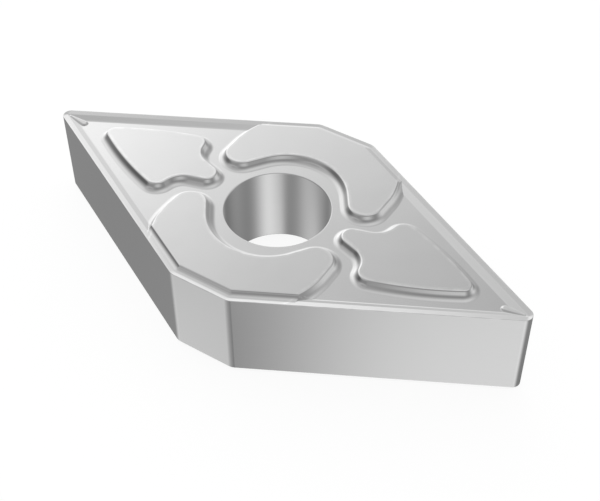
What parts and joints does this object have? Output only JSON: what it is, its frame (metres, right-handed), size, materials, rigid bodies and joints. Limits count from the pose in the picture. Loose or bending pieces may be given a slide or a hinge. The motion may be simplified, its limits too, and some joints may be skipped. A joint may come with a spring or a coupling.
{
  "type": "carbide insert",
  "caption": "Flat rhombic indexable cutting insert with a round central bore, sharp upright flanks, and a chip breaker with raised seating pads on each face.",
  "frame": {"origin": "on the bore's axis, in the plane of the pads that the insert rests on", "axes": "+X along the long diagonal towards one cutting corner, +Y along the short diagonal towards one blunt corner, +Z along the bore away from the seat"},
  "size_m": [0.0266, 0.0126, 0.0049],
  "materials": {
    "carbide": "satin"
  },
  "bodies": {
    "root": {"insert": "carbide"}
  },
  "joints": []
}
